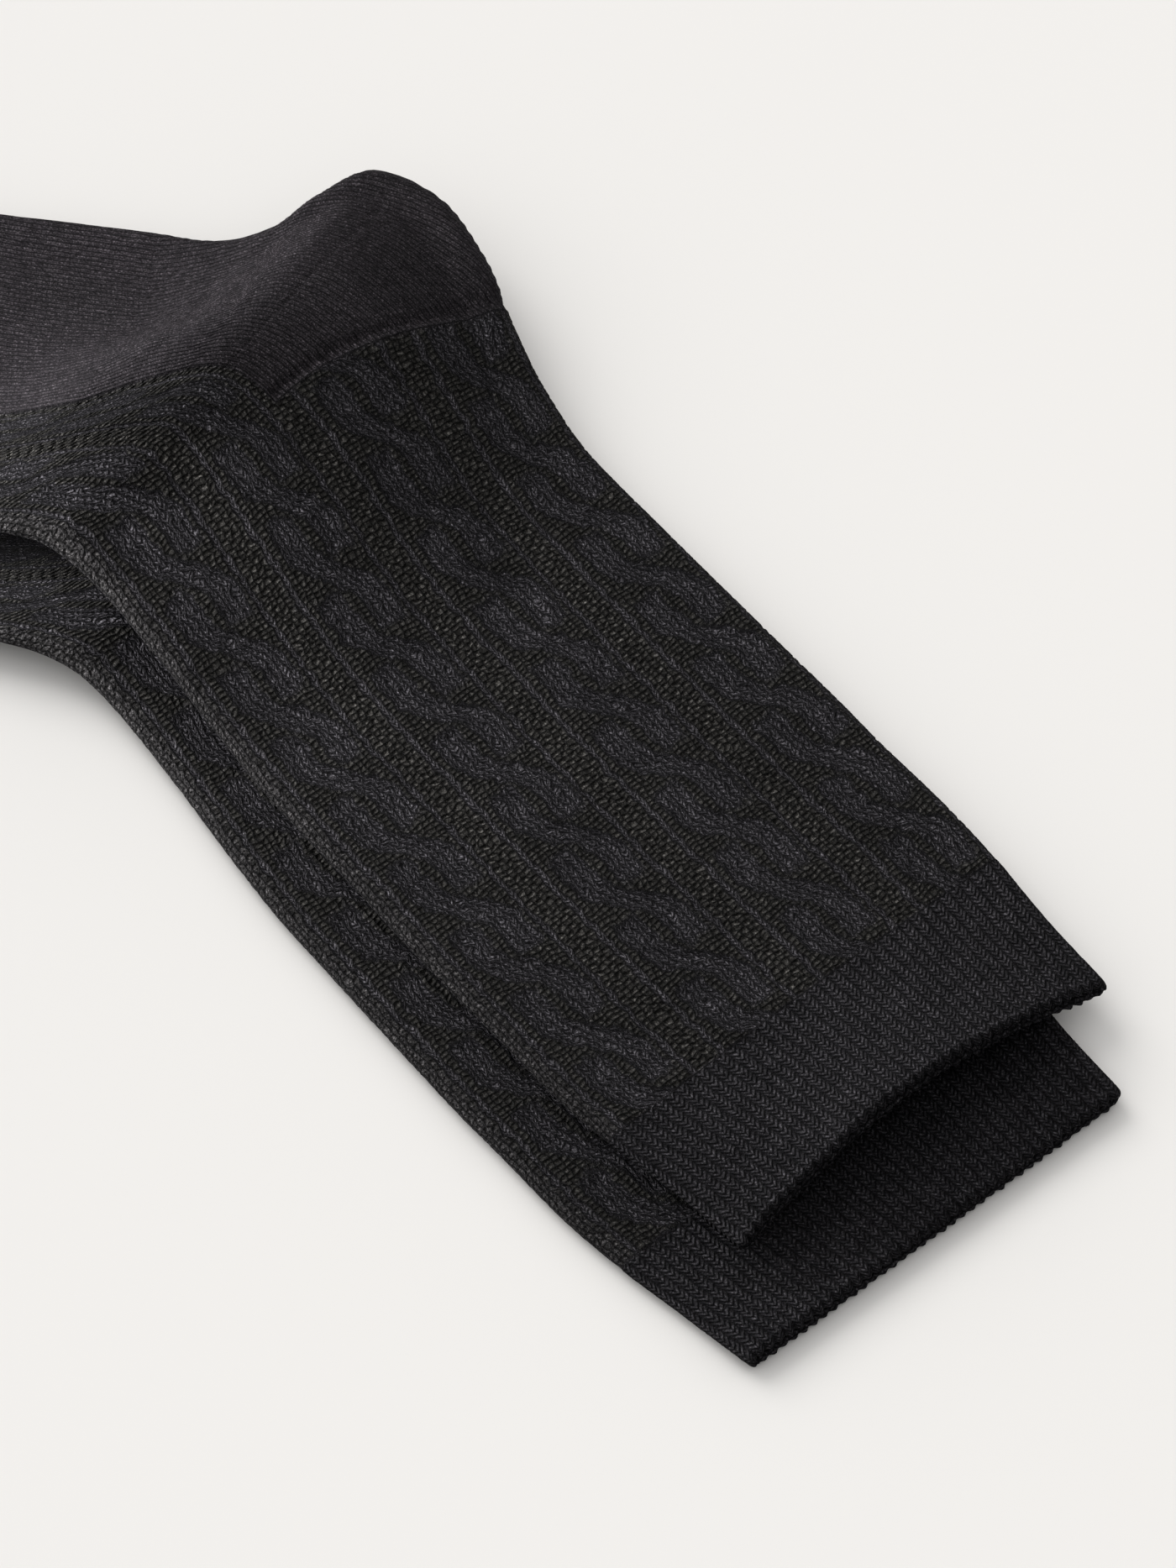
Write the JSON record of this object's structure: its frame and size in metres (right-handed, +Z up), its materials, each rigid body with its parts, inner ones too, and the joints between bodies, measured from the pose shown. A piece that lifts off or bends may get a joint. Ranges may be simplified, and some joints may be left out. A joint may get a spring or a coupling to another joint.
{
  "type": "pair of crew socks",
  "caption": "Dark knitted crew socks with moss-stitch ribs and mock-cable panels, laid flat on their sides one on the other",
  "frame": {"origin": "on the table, under the middle of the pair's bounding box", "axes": "+Z up from the table; X runs across from the toes (-X) to the cuff side (+X), along the foot to within 10 degrees; +Y toward the heels, away from the viewer of the picture"},
  "size_m": [0.3446, 0.2614, 0.027],
  "materials": {
    "sock_upper": "matte knit",
    "sock_lower": "matte knit"
  },
  "bodies": {
    "root": {"sock_upper": "sock_upper", "sock_lower": "sock_lower"}
  },
  "joints": []
}
